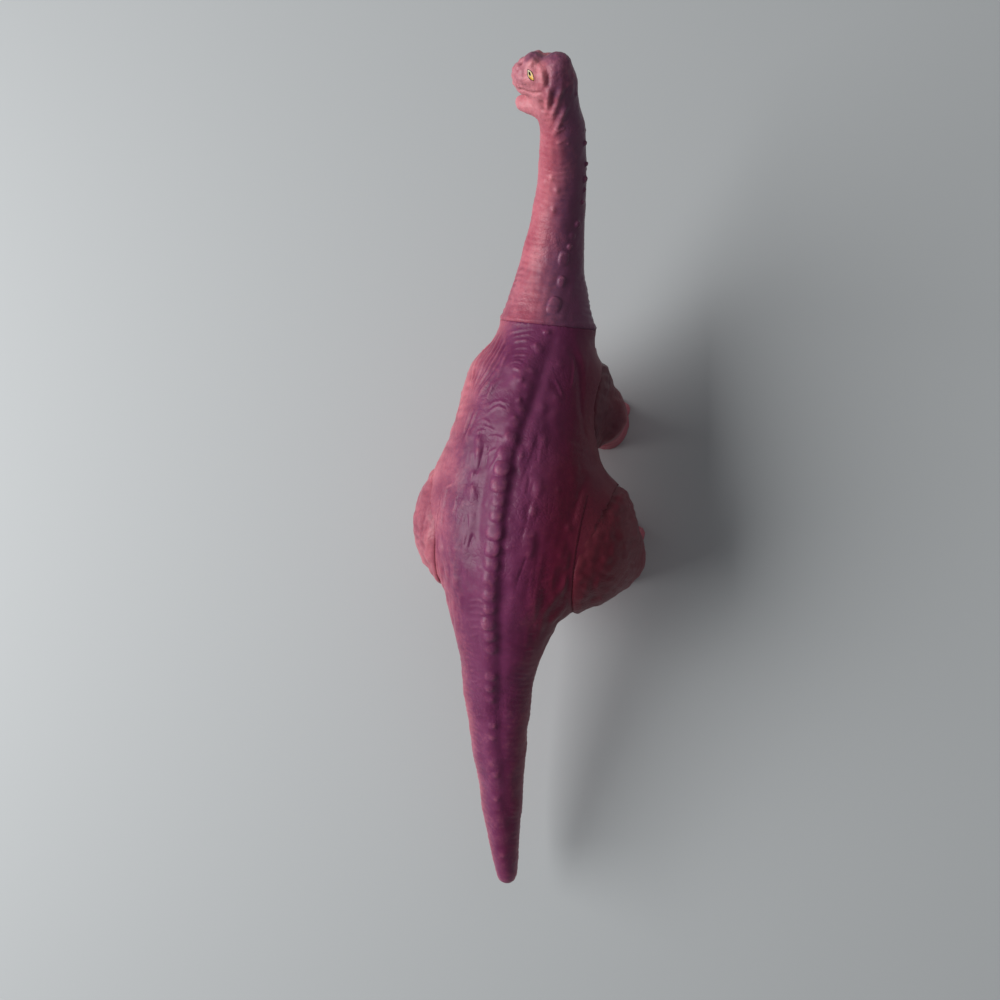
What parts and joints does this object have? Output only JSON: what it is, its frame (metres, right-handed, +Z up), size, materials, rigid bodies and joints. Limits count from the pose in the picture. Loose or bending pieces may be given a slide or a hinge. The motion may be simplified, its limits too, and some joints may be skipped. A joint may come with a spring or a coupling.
{
  "type": "toy dinosaur figure",
  "caption": "Long-necked dinosaur toy in hollow soft vinyl, standing on its feet, with a neck that swivels at a round seam and legs that swivel in round seats.",
  "frame": {"origin": "on the ground plane of the soles, under the middle of the bounding box", "axes": "the animal faces -Y, its left side is +X and +Z is up"},
  "size_m": [0.088, 0.2714, 0.1216],
  "materials": {
    "purple_sprayed_vinyl": "soft vinyl, coral pink at the flanks under a sprayed purple back, satin",
    "neck_vinyl": "soft vinyl, coral pink with a thin purple spray along the back of the neck, satin",
    "coral_vinyl": "soft vinyl, bare coral pink, satin"
  },
  "bodies": {
    "torso": {"body_and_tail": "purple_sprayed_vinyl"},
    "neck": {"neck_and_head": "neck_vinyl"},
    "front_left": {"front_leg_left": "coral_vinyl"},
    "front_right": {"front_leg_right": "coral_vinyl"},
    "hind_left": {"hind_leg_left": "coral_vinyl"},
    "hind_right": {"hind_leg_right": "coral_vinyl"}
  },
  "joints": [
    {"name": "neck_swivel", "type": "hinge", "parent": "torso", "child": "neck", "pos_m": [0.0021, -0.0714, 0.0645], "axis": [0, -0.9613, 0.2756], "continuous": true},
    {"name": "front_left_swing", "type": "hinge", "parent": "torso", "child": "front_left", "pos_m": [0.024, -0.0464, 0.047], "axis": [1, 0, 0], "range_deg": [-30, 12]},
    {"name": "front_right_swing", "type": "hinge", "parent": "torso", "child": "front_right", "pos_m": [-0.015, -0.0464, 0.047], "axis": [1, 0, 0], "range_deg": [-30, 12]},
    {"name": "hind_left_swing", "type": "hinge", "parent": "torso", "child": "hind_left", "pos_m": [0.0245, 0.0026, 0.05], "axis": [1, 0, 0], "range_deg": [-12, 30]},
    {"name": "hind_right_swing", "type": "hinge", "parent": "torso", "child": "hind_right", "pos_m": [-0.0245, 0.0026, 0.05], "axis": [1, 0, 0], "range_deg": [-12, 30]}
  ]
}
